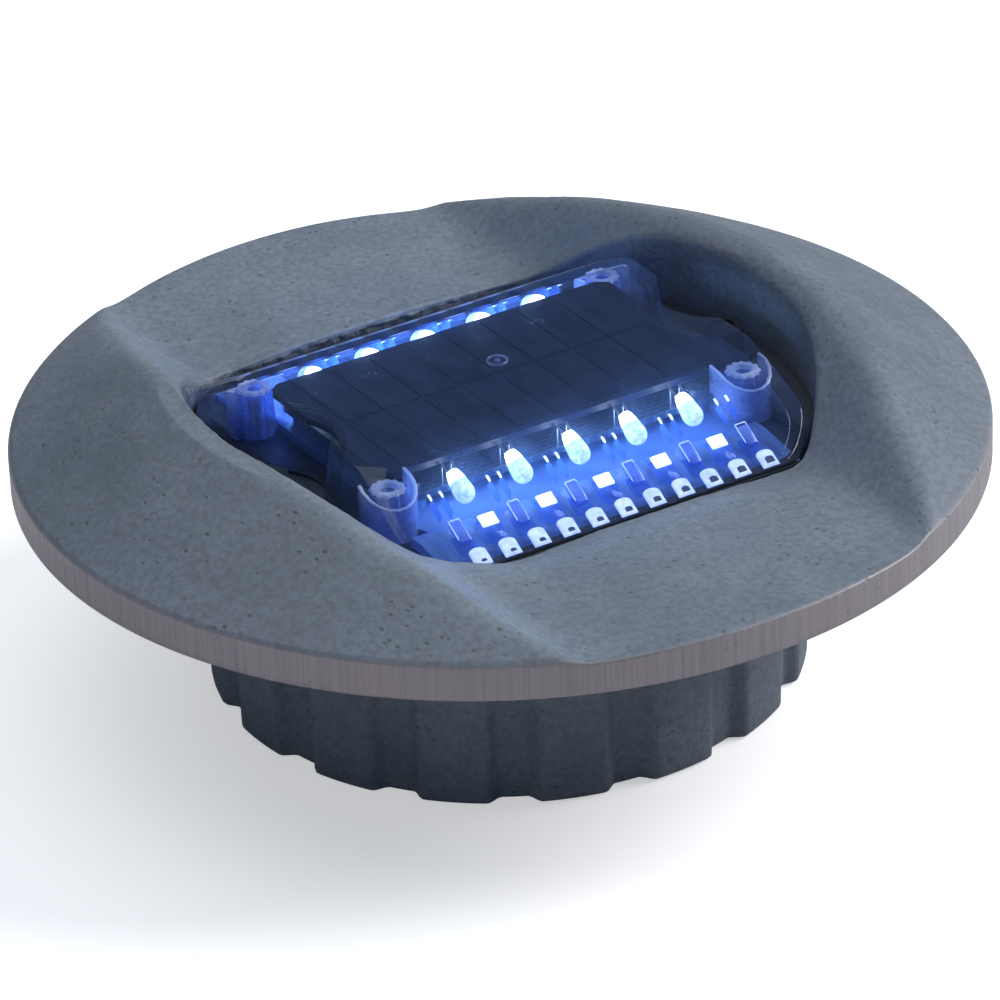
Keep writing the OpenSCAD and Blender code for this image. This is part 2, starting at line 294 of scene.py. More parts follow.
def cast_iron():
    """Painted sand casting. Attribute bare marks the turned rim, and gravel the raw walls of the well."""
    material, tree = new_tree("cast_iron")
    bare = put(tree, "Attribute", attribute_name="bare").outputs["Fac"]
    gravel = put(tree, "Attribute", attribute_name="gravel").outputs["Fac"]

    cloud = grain(tree, 14, 5, 0.6)
    blotch = grain(tree, 70, 4, 0.6)
    sand = grain(tree, 620, 3, 0.6)
    pits = put(tree, "TexVoronoi", {"Vector": place(tree, (1, 1, 1.6)), "Scale": 330.0}).outputs["Distance"]
    pit = math_node(tree, "MULTIPLY", curve(tree, pits, 0.26, 0.04),
                    curve(tree, grain(tree, 95, 2), 0.47, 0.6))

    paint = mix_colour(tree, curve(tree, cloud, 0.35, 0.65), (0.125, 0.158, 0.19), (0.17, 0.205, 0.25))
    paint = mix_colour(tree, curve(tree, blotch, 0.42, 0.72, 0.0, 0.5), paint, (0.205, 0.235, 0.275))
    paint = mix_colour(tree, curve(tree, sand, 0.6, 0.38, 0.0, 0.5), paint, (0.085, 0.108, 0.13))
    # Pits are darker in colour as well as lower: painted shade in them.
    paint = mix_colour(tree, math_node(tree, "MULTIPLY", pit, 0.75), paint, (0.05, 0.064, 0.078))
    raw = mix_colour(tree, curve(tree, grain(tree, 520, 5, 0.7), 0.36, 0.62),
                     (0.045, 0.052, 0.058), (0.155, 0.175, 0.19))
    paint = mix_colour(tree, gravel, paint, raw)

    streaks = grain(tree, 1500, 2, 0.5, (1, 1, 0.015))
    turned = mix_colour(tree, curve(tree, streaks, 0.3, 0.7), (0.27, 0.255, 0.265), (0.36, 0.34, 0.355))
    turned = mix_colour(tree, curve(tree, grain(tree, 26, 3), 0.4, 0.65, 0.0, 0.5), turned,
                        (0.33, 0.29, 0.28))
    colour = mix_colour(tree, bare, paint, turned)

    height = math_node(tree, "MULTIPLY", sand, 0.55)
    height = math_node(tree, "SUBTRACT", height, pit)
    relief = bump(tree, height, 0.3, 0.7)
    relief = bump(tree, math_node(tree, "MULTIPLY", grain(tree, 420, 4, 0.7), gravel), 0.9, 0.8, relief)
    relief = bump(tree, math_node(tree, "MULTIPLY", streaks, bare), 0.05, 0.7, relief)
    rough = math_node(tree, "SUBTRACT", curve(tree, blotch, 0.3, 0.7, 0.52, 0.66),
                      math_node(tree, "MULTIPLY", bare, 0.17))
    shader = put(tree, "BsdfPrincipled", {
        "Base Color": colour,
        "Roughness": rough,
        "Metallic": math_node(tree, "MULTIPLY", bare, 0.35),
        "Normal": relief})
    output(tree, shader.outputs[0])
    return material


def clear_plastic(name, tint, haze, haze_colour, roughness=0.05):
    """Clear moulding: see-through head on, mirror-like at an angle, with some haze that catches light."""
    material, tree = new_tree(name)
    flow = grain(tree, 55, 3)
    scratches = grain(tree, 260, 3, 0.6, (1, 0.15, 1))
    relief = bump(tree, flow, 0.35, 0.35)
    relief = bump(tree, scratches, 0.03, 0.3, relief)
    clear = put(tree, "BsdfTransparent", {"Color": (*tint, 1)})
    gloss = put(tree, "BsdfGlossy", {
        "Color": (0.6, 0.64, 0.7, 1),
        "Roughness": curve(tree, scratches, 0.35, 0.7, roughness, roughness + 0.08),
        "Normal": relief})
    milk = put(tree, "BsdfDiffuse", {"Color": (*haze_colour, 1)})
    through = put(tree, "BsdfTranslucent", {"Color": (*haze_colour, 1)})
    body = put(tree, "MixShader", {0: 0.5, 1: milk.outputs[0], 2: through.outputs[0]})
    hazy = put(tree, "MixShader", {0: curve(tree, scratches, 0.3, 0.75, haze * 0.6, haze * 1.6),
                                   1: clear.outputs[0], 2: body.outputs[0]})
    facing = put(tree, "LayerWeight", {"Blend": 0.5, "Normal": relief}).outputs["Facing"]
    mirror = curve(tree, math_node(tree, "POWER", facing, 5.0), 0.0, 1.0, 0.04, 1.0)
    shader = put(tree, "MixShader", {0: mirror, 1: hazy.outputs[0], 2: gloss.outputs[0]})
    output(tree, shader.outputs[0])
    return material


def lit_epoxy():
    """A burning lamp: white-hot near its base, marbled along its body, and bluer towards its edges."""
    material, tree = new_tree("lamp_epoxy")
    along = put(tree, "Attribute", attribute_name="along").outputs["Fac"]
    marble = grain(tree, 1100, 4, 0.75)
    edge = put(tree, "LayerWeight", {"Blend": 0.35}).outputs["Facing"]
    body = mix_colour(tree, curve(tree, marble, 0.38, 0.62), (0.3, 0.72, 1.0), (0.92, 1.0, 0.86))
    body = mix_colour(tree, curve(tree, edge, 0.3, 0.95), body, (0.25, 0.55, 1.0))
    heat = curve(tree, along, 0.4, 0.2)
    colour = mix_colour(tree, heat, body, (0.85, 0.94, 1.0))
    strength = math_node(tree, "ADD", curve(tree, marble, 0.35, 0.62, 0.5, 1.05),
                         math_node(tree, "MULTIPLY", heat, 14.0))
    shader = put(tree, "BsdfPrincipled", {
        "Base Color": (0.75, 0.85, 1.0, 1), "Roughness": 0.12,
        "Emission Color": colour, "Emission Strength": strength})
    output(tree, shader.outputs[0])
    return material


def painted_glow_window(name, low, high, strength):
    """The end of a light guide: a frosted face that glows by emission, painted light standing for the lamps'
    light.
    """
    material, tree = new_tree(name)
    frost = grain(tree, 500, 3)
    colour = mix_colour(tree, curve(tree, frost, 0.35, 0.65), low, high)
    shader = put(tree, "BsdfPrincipled", {
        "Base Color": colour, "Roughness": curve(tree, frost, 0.3, 0.7, 0.25, 0.45),
        "Emission Color": colour, "Emission Strength": strength,
        "Normal": bump(tree, frost, 0.05, 0.4)})
    output(tree, shader.outputs[0])
    return material


def solar_cell():
    """Dark silicon with a faint crystal pattern and fine collector lines."""
    material, tree = new_tree("solar_cell")
    crystal = put(tree, "TexVoronoi", {"Vector": place(tree), "Scale": 260.0}).outputs["Color"]
    shade = curve(tree, crystal, 0.2, 0.9)
    colour = mix_colour(tree, shade, (0.006, 0.01, 0.026), (0.009, 0.015, 0.038))
    lines = put(tree, "TexWave", {"Vector": place(tree), "Scale": 210.0, "Distortion": 0.0},
                wave_type="BANDS", bands_direction="Y").outputs["Fac"]
    colour = mix_colour(tree, curve(tree, lines, 0.95, 1.0, 0.0, 0.25), colour, (0.03, 0.038, 0.065))
    shader = put(tree, "BsdfPrincipled", {
        "Base Color": colour, "Roughness": curve(tree, crystal, 0.2, 0.8, 0.3, 0.42),
        "Specular IOR Level": 0.2})
    output(tree, shader.outputs[0])
    return material


def board_laminate():
    """Dark solder mask over faint copper tracks."""
    material, tree = new_tree("board_laminate")
    tracks = put(tree, "TexBrick", {"Vector": place(tree), "Scale": 160.0, "Mortar Size": 0.06,
                                    "Color1": (0.01, 0.024, 0.06, 1), "Color2": (0.013, 0.03, 0.075, 1),
                                    "Mortar": (0.04, 0.07, 0.12, 1)})
    shader = put(tree, "BsdfPrincipled", {
        "Base Color": tracks.outputs["Color"],
        "Roughness": curve(tree, grain(tree, 300), 0.3, 0.7, 0.28, 0.42),
        "Normal": bump(tree, tracks.outputs["Fac"], 0.04, 0.5)})
    output(tree, shader.outputs[0])
    return material


# Casting

def well_edge(angle):
    """Plan radius of the well at an angle: a disc with two straight sides."""
    half_y = np.where(np.sin(angle) < 0, FRONT_WELL_Y, REAR_WELL_Y)
    side = half_y / np.maximum(np.abs(np.sin(angle)), 0.05)
    return smooth_min(np.full_like(angle, WELL_R), side, 1.6)


def pocket_edge(angle):
    """Plan radius of the pocket below the ledge, which bends round the two screw bosses."""
    side = POCKET_HALF_Y / np.maximum(np.abs(np.sin(angle)), 0.05)
    edge = smooth_min(np.full_like(angle, POCKET_R), side, 0.6)
    across = BOSS_R**2 - (SCREW_X * np.sin(angle)) ** 2
    boss = SCREW_X * np.abs(np.cos(angle)) - np.sqrt(np.maximum(across, 0))
    return np.where(across > 0, np.minimum(edge, boss), edge)


def skirt_edge(angle, z):
    """Plan radius of the fluted skirt at an angle and height."""
    pitch = 360 / FLUTES
    turn = np.degrees(angle) - FLUTE_TURN
    from_lobe = np.abs((turn + pitch / 2) % pitch - pitch / 2)
    return SKIRT_R + SKIRT_DRAFT * z / FLANGE_Z - FLUTE_DEPTH * smooth_step((from_lobe - 6) / 2.75)


def top_height(x, y):
    """Height of the casting's top: a dome that falls to the well inside its crest, cut by the wheels' path.
    The fall is steep on the left and broadly rounded on the right."""
    r = np.hypot(x, y)
    crest = CREST_R + CREST_OFFSET * x / np.maximum(r, 1)
    steep_fall = CREST_Z + np.maximum(r - crest, -5) * 2.2
    round_fall = CREST_Z + 0.5 - 0.055 * np.clip(crest + CREST_ROUND - r, 0, 12) ** 2
    inner_fall = steep_fall + (round_fall - steep_fall) * smooth_step((x / np.maximum(r, 1) + 0.1) / 0.7)
    dome = smooth_min(RIM_Z + (FLANGE_R - r) * OUTER_SLOPE, inner_fall, 2.0)
    floor = RIM_Z + 0.2 - RAMP_DISH * np.minimum(np.abs(x) / RAMP_HALF_W, 1) ** 2
    floor = floor - RAMP_DIP * smooth_step((y + 68) / 11) * (y < 0)
    near_left_swell = 4.2 * np.exp(-((x + 46) ** 2 + (y + 58) ** 2) / (2 * 6.5**2))
    path = floor + GUARD_SLOPE * soft_ramp(np.abs(x) - RAMP_HALF_W, 2.5) + near_left_swell
    k = 0.4 + 1.8 * smooth_step((FLANGE_R - r) / 15)
    return np.minimum(smooth_min(dome, path, k), CREST_Z)


def casting_rings():
    """Rings from the bottom of the skirt up, over the top and down into the pocket.
    With each come how far sand moved it, how bare of paint it is and how gravelly it is."""
    angle = np.linspace(0, 2 * math.pi, 480, endpoint=False)
    cos, sin = np.cos(angle), np.sin(angle)
    rings, sand, bare, gravel = [], [], [], []

    def ring(radius, z, moved=0.0, bare_here=0.0, gravel_here=0.0):
        radius = radius + np.zeros_like(angle)
        rings.append(np.stack([radius * cos, radius * sin, z + np.zeros_like(angle)], 1))
        sand.append(moved)
        bare.append(bare_here)
        gravel.append(gravel_here)

    ring(30, 0)
    for turn in (0, 30, 60):
        a = math.radians(turn)
        ring(skirt_edge(angle, 0) - FOOT_EDGE_R * (1 - math.sin(a)), FOOT_EDGE_R * (1 - math.cos(a)))
    for z in np.linspace(FOOT_EDGE_R, FLANGE_Z - ROOT_R, 26):
        ring(skirt_edge(angle, z), z, 0.3)
    for turn in (25, 50, 75, 90):
        a = math.radians(turn)
        ring(skirt_edge(angle, FLANGE_Z) + ROOT_R * (1 - math.cos(a)),
             FLANGE_Z - ROOT_R * (1 - math.sin(a)), 0.1)
    root = skirt_edge(angle, FLANGE_Z) + ROOT_R
    for part in np.linspace(0, 1, 8)[1:]:
        ring(root + (FLANGE_R - 0.6 - root) * part, FLANGE_Z)

    rim_top = top_height(FLANGE_R * cos, FLANGE_R * sin)
    ring(FLANGE_R - 0.15, FLANGE_Z + 0.2, 0, 1)
    for part in np.linspace(0.0, 1.0, 7):
        ring(FLANGE_R, FLANGE_Z + 0.6 + (rim_top - FLANGE_Z - 1.3) * part, 0, 1)
    ring(FLANGE_R - 0.1, rim_top - 0.35, 0, 0.8)
    ring(FLANGE_R - 0.35, rim_top - 0.1, 0, 0.3)

    well = well_edge(angle)
    for t in np.linspace(0, 1, 88):
        inwards = 1 - (1 - t) ** 1.45
        r = FLANGE_R - 0.7 + (well - FLANGE_R + 0.7) * inwards
        d = np.clip(LIP_R - (r - well), 0, LIP_R)
        drop = LIP_R - np.sqrt(LIP_R**2 - d**2)
        edge = float(np.mean(smooth_step((4 - (r - well)) / 4)))
        ring(r, top_height(r * cos, r * sin) - drop, min(1.0, 6 * t), 0, 0.25 * edge)
    wall_top = top_height(well * cos, well * sin) - LIP_R
    smoother_right = 1 - 0.75 * smooth_step(cos / 0.8)
    for part in np.linspace(0, 1, 16)[1:]:
        ring(well, wall_top + (LEDGE_Z - wall_top) * part, 1.6 * (1 - part), 0, smoother_right)

    pocket = pocket_edge(angle)
    for part in (0.25, 0.5, 0.75, 1):
        ring(well + (pocket - well) * part, LEDGE_Z)
    for z in np.linspace(LEDGE_Z, POCKET_FLOOR_Z, 9)[1:]:
        ring(pocket, z)
    ring(pocket * 0.5, POCKET_FLOOR_Z)
    return rings, sand, bare, gravel


def drill_screw_holes(obj):
    """Cuts the two fixing screws' holes down through the ledge."""
    bm = bmesh.new()
    for side in (-1, 1):
        where = Matrix.Translation((side * SCREW_X * MM, 0, (LEDGE_Z - 10) * MM))
        bmesh.ops.create_cone(bm, cap_ends=True, segments=32, radius1=SCREW_HOLE_R * MM,
                              radius2=SCREW_HOLE_R * MM, depth=30 * MM, matrix=where)
    mesh = bpy.data.meshes.new("drill")
    bm.to_mesh(mesh)
    bm.free()
    drill = bpy.data.objects.new("drill", mesh)
    bpy.context.scene.collection.objects.link(drill)
    cut = obj.modifiers.new("holes", "BOOLEAN")
    cut.operation = "DIFFERENCE"
    cut.object = drill
    cut.solver = "MANIFOLD"
    bpy.context.view_layer.update()
    shaped = bpy.data.meshes.new_from_object(obj.evaluated_get(bpy.context.evaluated_depsgraph_get()))
    obj.modifiers.clear()
    obj.data = shaped
    bpy.data.objects.remove(drill)


def build_casting(material):
    """The casting, its surface moved by slow waves and by grit."""
    rings, sand, bare, gravel = casting_rings()
    points, faces = loft(rings, (0, 0, 0), (0, 0, POCKET_FLOOR_Z))
    obj = make_object("road_stud_casting", points, faces, [material], "housing")
    count = len(rings[0])

    moved = np.array([*np.repeat(sand, count), 0, 0])
    rough = np.array([*np.concatenate([row + np.zeros(count) for row in gravel]), 0, 0])
    normals = np.empty(len(points) * 3, np.float32)
    obj.data.vertex_normals.foreach_get("vector", normals)
    placed = np.array(points)
    for i, normal in enumerate(normals.reshape(-1, 3)):
        if moved[i] > 0:
            p = Vector(points[i])
            wave = 0.28 * noise.noise(p / 17) + 0.1 * noise.noise(p / 5 + Vector((9, 0, 0)))
            grit = (0.07 + 0.4 * rough[i]) * noise.noise(p / 1.7)
            placed[i] += normal * (wave + grit) * moved[i]
    placed[:, 2] = np.minimum(placed[:, 2], CREST_Z)
    obj.data.vertices.foreach_set("co", (placed * MM).ravel())
    obj.data.update()
    set_attribute(obj, "bare", [*np.repeat(bare, count), 0, 0])
    set_attribute(obj, "gravel", rough)
    drill_screw_holes(obj)
    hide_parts("housing_casting")


# Clear cover

def cover_end(y, inset=0.0):
    """Half length of the cover along X at y: straight ends, a big plan radius and the screw notches."""
    y = np.abs(y)
    round_end = np.sqrt(np.maximum((COVER_R - inset) ** 2 - y**2, 1.0))
    end = smooth_min(np.full_like(y, COVER_HALF_X - inset), round_end, 0.9)
    over = np.clip(y - (COVER_HALF_Y - inset - CORNER_R), 0, CORNER_R)
    end = end - 0.55 * (CORNER_R - np.sqrt(CORNER_R**2 - over**2))
    notch_r = NOTCH_R + inset
    across = notch_r**2 - y**2
    notch = SCREW_X - np.sqrt(np.maximum(across, 0))
    return smooth_min(end, np.where(across > 0, notch, SCREW_X + 20), 1.4)


def roof_height(y, inset_top=0.0, inset_face=0.0):
    """Height of the cover's top or sloping face at y."""
    slope = TOP_Z - (np.abs(y) - TOP_HALF_Y) * math.tan(FACE_ANGLE) - inset_face / math.cos(FACE_ANGLE)
    return smooth_min(np.full_like(y, TOP_Z - inset_top), slope, 0.5)


def corner_fall(x, y, z):
    """How far the roof's corner, between a sloping face and an end, is rounded down at a point."""
    over_x = max(abs(x) - (COVER_HALF_X - COVER_DRAFT - CORNER_R), 0)
    over_y = max(abs(y) - (TOP_HALF_Y - CORNER_R), 0)
    if not over_x or not over_y:
        return 0.0
    past = math.hypot(over_x, over_y) - max(over_y, CORNER_R)
    return max(past, 0) * math.tan(FACE_ANGLE) * min(1, (z - COVER_Z) / (TOP_Z - COVER_Z) * 1.5)


def shell_skin(inset, inset_top, inset_face, rows, columns):
    """One skin of the cover: rows of points from one end's foot, over the roof, to the other's foot."""
    half_y = COVER_HALF_Y - min(inset, FOOT_T)
    y = half_y * np.sin(np.linspace(-math.pi / 2, math.pi / 2, rows))
    end = cover_end(y, inset)
    roof = np.maximum(roof_height(y, inset_top, inset_face), COVER_Z + 0.4)
    across = np.sin(np.linspace(-math.pi / 2, math.pi / 2, columns))
    edge_r = 0.8
    skin = []
    for j in range(rows):
        tall = roof[j] - COVER_Z
        radius = min(edge_r, tall * 0.45)
        draft = COVER_DRAFT * tall / (TOP_Z - COVER_Z)
        row = []
        for part in np.linspace(0, 1, 7):
            row.append((-(end[j] - draft * part), COVER_Z + (tall - radius) * part))
        for turn in (30, 60):
            a = math.radians(turn)
            row.append((-(end[j] - draft - radius * (1 - math.cos(a))),
                        roof[j] - radius * (1 - math.sin(a))))
        flat = end[j] - draft - radius
        row += [(flat * s, roof[j]) for s in across]
        row += [(-x, z) for x, z in reversed(row[:9])]
        skin.append([(x, y[j], z - corner_fall(x, y[j], z)) for x, z in row])
    for last, at in ((skin[0], 0), (skin[-1], rows - 1)):
        foot = [(x, yy, COVER_Z) for x, yy, z in last]
        skin.insert(0, foot) if at == 0 else skin.append(foot)
    return np.array(skin)


def add_skin(bm, skin, flip):
    grid = [[bm.verts.new(p) for p in row] for row in skin]
    for a, b in zip(grid, grid[1:]):
        for i in range(len(a) - 1):
            corners = (a[i], a[i + 1], b[i + 1], b[i])
            bm.faces.new(corners[::-1] if flip else corners)
    return grid


def skin_edge(grid):
    """The skin's open edge, as one loop."""
    return (grid[0] + [row[-1] for row in grid[1:]] + grid[-1][-2::-1]
            + [row[0] for row in grid[-2:0:-1]])


def add_post(bm, x, y):
    """A clear screw post, ribbed outside, from the cover's foot up to the roof; its top is in bright milky
    plastic, a painted highlight.
    """
    segments = 48
    top = float(roof_height(np.array([abs(y) + POST_R * 0.4]), TOP_T, FACE_T)[0]) - 0.3
    rings = []
    for r, z in ((1.6, COVER_Z), (POST_R - 0.1, COVER_Z), (POST_R, COVER_Z + 0.3), (POST_R - 0.5, top - 0.5),
                 (POST_R - 0.9, top), (2.2, top), (1.8, top - 1), (1.6, COVER_Z + 8), (1.6, COVER_Z + 4)):
        ring = []
        for i in range(segments):
            a = 2 * math.pi * i / segments
            rib = RIB_DEPTH * math.cos(RIBS * a) if r > 3 else 0
            ring.append(bm.verts.new((x + (r + rib) * math.cos(a), y + (r + rib) * math.sin(a), z)))
        rings.append(ring)
    for a, b in zip(rings, rings[1:] + rings[:1]):
        for i in range(segments):
            k = (i + 1) % segments
            # A post's top takes the bright milky plastic: a painted highlight.
            bm.faces.new((a[i], a[k], b[k], b[i])).material_index = PAINTED_GLINT if a[i].co.z > top - 0.6 else RIB


def add_hook(bm, x, y):
    """A curved stiffening web that wraps each post and turns towards the lamps."""
    side_x, side_y = math.copysign(1, x), math.copysign(1, y)
    path = []
    for turn in range(-20, 200, 20):
        a = math.radians(turn)
        path.append((x + side_x * HOOK_R * math.cos(a), y + side_y * HOOK_R * math.sin(a)))
    path.append((x - side_x * 6.6, y - side_y * 3.5))
    sweep_wall(bm, path, COVER_Z + 0.6, HOOK_T,
               lambda yy: float(roof_height(np.array([yy]), TOP_T, FACE_T)[0]) - 0.25)


def sweep_wall(bm, path, low_z, thickness, high_z):
    """A thin upright wall along a plan path, its top following high_z(y); its top faces are in bright milky
    plastic, a painted highlight.
    """
    sections = []
    for i, (x, y) in enumerate(path):
        before, after = path[max(i - 1, 0)], path[min(i + 1, len(path) - 1)]
        along = Vector((after[0] - before[0], after[1] - before[1])).normalized()
        nx, ny = -along.y * thickness / 2, along.x * thickness / 2
        top = high_z(y)
        corners = ((x + nx, y + ny, low_z), (x + nx, y + ny, top - 0.25), (x + nx * 0.4, y + ny * 0.4, top),
                   (x - nx * 0.4, y - ny * 0.4, top), (x - nx, y - ny, top - 0.25), (x - nx, y - ny, low_z))
        sections.append([bm.verts.new(c) for c in corners])
    count = len(sections[0])
    for a, b in zip(sections, sections[1:]):
        for i in range(count):
            k = (i + 1) % count
            # The wall's top faces take the bright milky plastic: a painted highlight.
            bm.faces.new((a[i], b[i], b[k], a[k])).material_index = PAINTED_GLINT if i in (1, 2, 3) else RIB
    bm.faces.new(sections[0][::-1])
    bm.faces.new(sections[-1])


def add_gate_mark(bm):
    """The moulding gate: a shallow ring and a dot at the middle of the top."""
    segments, smallest_r = 40, 0.12
    for outer, inner in ((GATE_R, GATE_R - 0.5), (0.7, 0.0)):
        rings = []
        for r, z in ((outer, TOP_Z - 0.5), (outer, TOP_Z - 0.13), (outer - 0.12, TOP_Z - 0.02),
                     (inner + 0.12, TOP_Z - 0.02), (inner, TOP_Z - 0.13), (inner, TOP_Z - 0.5)):
            r = max(r, smallest_r)
            ring = []
            for i in range(segments):
                a = 2 * math.pi * i / segments
                ring.append(bm.verts.new((r * math.cos(a), r * math.sin(a), z)))
            rings.append(ring)
        for a, b in zip(rings, rings[1:] + rings[:1]):
            for i in range(segments):
                k = (i + 1) % segments
                bm.faces.new((a[i], a[k], b[k], b[i])).material_index = RIB


def build_cover(materials):
    """The clear cover: two skins joined along their feet, four posts with hooks, and the gate mark.
    Its materials are the shell's, the ribs' and a bright milky one along the edges, which paints highlights
    on them."""
    bm = bmesh.new()
    rows, columns = 121, 41
    outer = add_skin(bm, shell_skin(0, 0, 0, rows, columns), True)
    inner = add_skin(bm, shell_skin(WALL_T, TOP_T, FACE_T, rows, columns), False)
    outer_edge, inner_edge = skin_edge(outer), skin_edge(inner)
    for i in range(len(outer_edge)):
        k = (i + 1) % len(outer_edge)
        bm.faces.new((outer_edge[i], outer_edge[k], inner_edge[k], inner_edge[i]))
    for x in (-POST_X, POST_X):
        for y in (-POST_Y, POST_Y):
            add_post(bm, x, y)
            add_hook(bm, x, y)
    add_gate_mark(bm)
    bmesh.ops.remove_doubles(bm, verts=bm.verts, dist=0.001)
    bmesh.ops.recalc_face_normals(bm, faces=bm.faces)
    obj = object_from_bmesh("clear_cover", bm, materials, "insert")
    obj.data.set_sharp_from_angle(angle=math.radians(28))
    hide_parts("lens_cover")


# Lamps and light guides

def lamp_place(box):
    """Matrix of a lamp: origin at its base, Z along its axis, down the slope and outwards."""
    low, high = box
    outward = -1 if low.y < 0 else 1
    axis = Vector((0, outward * math.cos(FACE_ANGLE), -math.sin(FACE_ANGLE)))
    nose_y = (low.y if outward < 0 else high.y) / MM - outward * LAMP_R
    nose = Vector(((low.x + high.x) / 2 / MM, nose_y, low.z / MM + LAMP_R))
    base = nose - axis * (LAMP_LEN - LAMP_R)
    across = Vector((1, 0, 0))
    upright = axis.cross(across)
    turn = Matrix((across, upright, axis)).transposed().to_4x4()
    return Matrix.Translation(base) @ turn


LAMP_WATTS = 0.0064
REAR_LAMP_WATTS = 0.017


def build_lamp(node, material):
    """A round lamp, narrow at the board, with a domed nose and a flat along one side."""
    neck_r, neck_z, steps = 1.55, 0.7, 8
    profile = [(0.05, 0), (0.9, 0), (1.35, 0.25), (neck_r, neck_z)]
    for i in range(1, steps + 1):
        swell = (LAMP_R - neck_r) * math.sin(math.pi / 2 * i / steps)
        profile.append((neck_r + swell, neck_z + (LAMP_LEN - LAMP_R - neck_z) * i / steps))
    for turn in range(10, 90, 10):
        a = math.radians(turn)
        profile.append((LAMP_R * math.cos(a) - 0.05, LAMP_LEN - LAMP_R + LAMP_R * math.sin(a)))
    profile.append((0.05, LAMP_LEN))
    where = lamp_place(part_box(node))
    segments, points, along = 40, [], []
    for r, z in profile:
        for i in range(segments):
            a = 2 * math.pi * i / segments
            x = min(r * math.cos(a), LAMP_R - 0.15)
            points.append(where @ Vector((x, r * math.sin(a), z)))
            along.append(z / LAMP_LEN)
    faces = []
    for j in range(len(profile) - 1):
        a, b = j * segments, (j + 1) * segments
        faces += [(a + i, a + (i + 1) % segments, b + (i + 1) % segments, b + i) for i in range(segments)]
    faces.append(tuple(range(segments))[::-1])
    faces.append(tuple((len(profile) - 1) * segments + i for i in range(segments)))
    obj = make_object("lit_" + node.replace("led", "lamp"), points, faces, [material], "insert")
    set_attribute(obj, "along", along)
    obj.visible_shadow = False
    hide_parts(node)
    light = bpy.data.lights.new("glow_" + node, "POINT")
    light.energy = LAMP_WATTS if node.startswith("front") else REAR_LAMP_WATTS
    light.color = (0.3, 0.56, 1.0)
    light.shadow_soft_size = 2.4 * MM
    glow = bpy.data.objects.new("glow_" + node, light)
    bpy.context.scene.collection.objects.link(glow)
    glow.location = (where @ Vector((0, 0, LAMP_LEN * 0.55))) * MM
    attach(glow, "insert")


def tilted(x, y, z, side):
    """Matrix whose Z stands square on the sloping face on one side, and whose Y runs down it."""
    down = Vector((0, side * math.cos(FACE_ANGLE), -math.sin(FACE_ANGLE)))
    normal = Vector((0, side * math.sin(FACE_ANGLE), math.cos(FACE_ANGLE)))
    across = down.cross(normal)
    turn = Matrix((across, down, normal)).transposed().to_4x4()
    return Matrix.Translation((x, y, z)) @ turn


def add_block(bm, where, size, bevel, taper, material_index=PRISM, top_index=None):
    """A block with rounded edges, standing on its matrix's XY plane and narrowing upwards by taper."""
    half_x, half_y, height = size[0] / 2, size[1] / 2, size[2]
    corners = [(sx * half_x * t, sy * half_y * t, z) for z, t in ((0, 1), (height, taper))
               for sx, sy in ((-1, -1), (1, -1), (1, 1), (-1, 1))]
    verts = [bm.verts.new(where @ Vector(c)) for c in corners]
    sides = [(0, 3, 2, 1), (4, 5, 6, 7), (0, 1, 5, 4), (1, 2, 6, 5), (2, 3, 7, 6), (3, 0, 4, 7)]
    faces = [bm.faces.new([verts[i] for i in side]) for side in sides]
    for face in faces:
        face.material_index = material_index
    if top_index is not None:
        faces[1].material_index = top_index
    edges = list({e for f in faces for e in f.edges})
    bmesh.ops.bevel(bm, geom=edges, offset=bevel, segments=2, affect="EDGES", profile=0.6)


def add_arch(bm, where, width, length, height, material_index):
    """A low block with one round end, like a small gravestone lying on the slope."""
    outline = [(width / 2, length / 2), (-width / 2, length / 2)]
    r = width / 2
    for turn in range(180, 361, 15):
        a = math.radians(turn)
        outline.append((r * math.cos(a), -length / 2 + r * 0.55 + r * 0.55 * math.sin(a)))
    layers = []
    for z, grow in ((0, 1.0), (height - 0.25, 1.0), (height, 0.86)):
        layers.append([bm.verts.new(where @ Vector((x * grow, y * grow, z))) for x, y in outline])
    for a, b in zip(layers, layers[1:]):
        for i in range(len(a)):
            k = (i + 1) % len(a)
            bm.faces.new((a[i], a[k], b[k], b[i])).material_index = material_index
    bm.faces.new(layers[0][::-1]).material_index = PRISM
    bm.faces.new(layers[-1]).material_index = material_index


def under(y):
    """Height of the underside of the cover's roof at y."""
    return float(roof_height(np.array([y]), TOP_T, FACE_T)[0])


def skin_z(y):
    """Height of the outside of the cover's roof at y."""
    return float(roof_height(np.array([y]))[0])


def add_guide(bm, side):
    """The slab under the prisms, flat near the lamps and then falling to the cover's foot."""
    near_y, flat_y, far_y = 37.2, 41.5, 55.3
    profile = [(near_y, DECK_Z + 2.4), (flat_y, DECK_Z + 2.4), (far_y, DECK_Z + 0.3),
               (far_y, DECK_Z), (near_y, DECK_Z)]
    ends = [[bm.verts.new((x, side * y, z)) for y, z in profile] for x in (-47, 47)]
    for i in range(len(profile)):
        k = (i + 1) % len(profile)
        bm.faces.new((ends[0][i], ends[1][i], ends[1][k], ends[0][k])).material_index = GUIDE
    bm.faces.new(ends[0]).material_index = GUIDE
    bm.faces.new(ends[1][::-1]).material_index = GUIDE


def below_roof(x, y, depth, side):
    """Matrix of a place at a depth below the roof's underside."""
    return tilted(x, side * y, under(y) - depth, side)


def in_roof(x, y, depth, side):
    """Matrix of a place at a depth below the roof's outside."""
    return tilted(x, side * y, skin_z(y) - depth, side)


def add_window(bm, x, side):
    """A window in front of a lamp, glowing by emission as painted light, with the cup that holds it."""
    cup_y, window_y = 46.3, 44.6
    half_turn = Matrix.Rotation(math.pi, 4, "Z")
    add_arch(bm, below_roof(x, cup_y, 1.6, side) @ half_turn, 5.2, 6.6, 1.2, PRISM)
    add_block(bm, below_roof(x, window_y, 0.3, side), (4.4, 3.3, 0.4), 0.12, 0.96, PAINTED_GLOW, PAINTED_GLOW)


